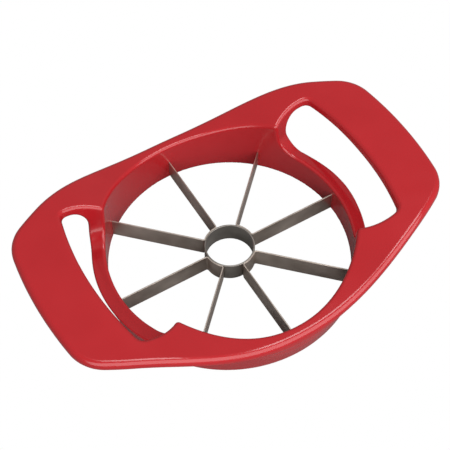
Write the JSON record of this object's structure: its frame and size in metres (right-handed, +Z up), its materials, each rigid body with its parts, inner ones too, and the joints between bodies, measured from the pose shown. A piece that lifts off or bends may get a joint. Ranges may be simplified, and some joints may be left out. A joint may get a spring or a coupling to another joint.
{
  "type": "apple slicer and corer",
  "caption": "Push-down apple slicer: saddle-shaped plastic frame with a finger slot in each handle, round opening, steel core ring and radial steel blades.",
  "frame": {"origin": "centre of the round opening on the flat underside of the frame's round wall", "axes": "+X along the two handles, +Y across the tool, +Z up, away from the cutting edges"},
  "size_m": [0.17, 0.1124, 0.0352],
  "materials": {
    "frame_plastic": "glossy red moulded plastic",
    "ring_steel": "drawn stainless tube",
    "strip_steel": "rolled stainless strip"
  },
  "bodies": {
    "root": {"frame": "frame_plastic", "core_ring": "ring_steel", "blade_strip_1": "strip_steel", "blade_strip_2": "strip_steel", "blade_strip_3": "strip_steel", "blade_strip_4": "strip_steel"}
  },
  "joints": []
}
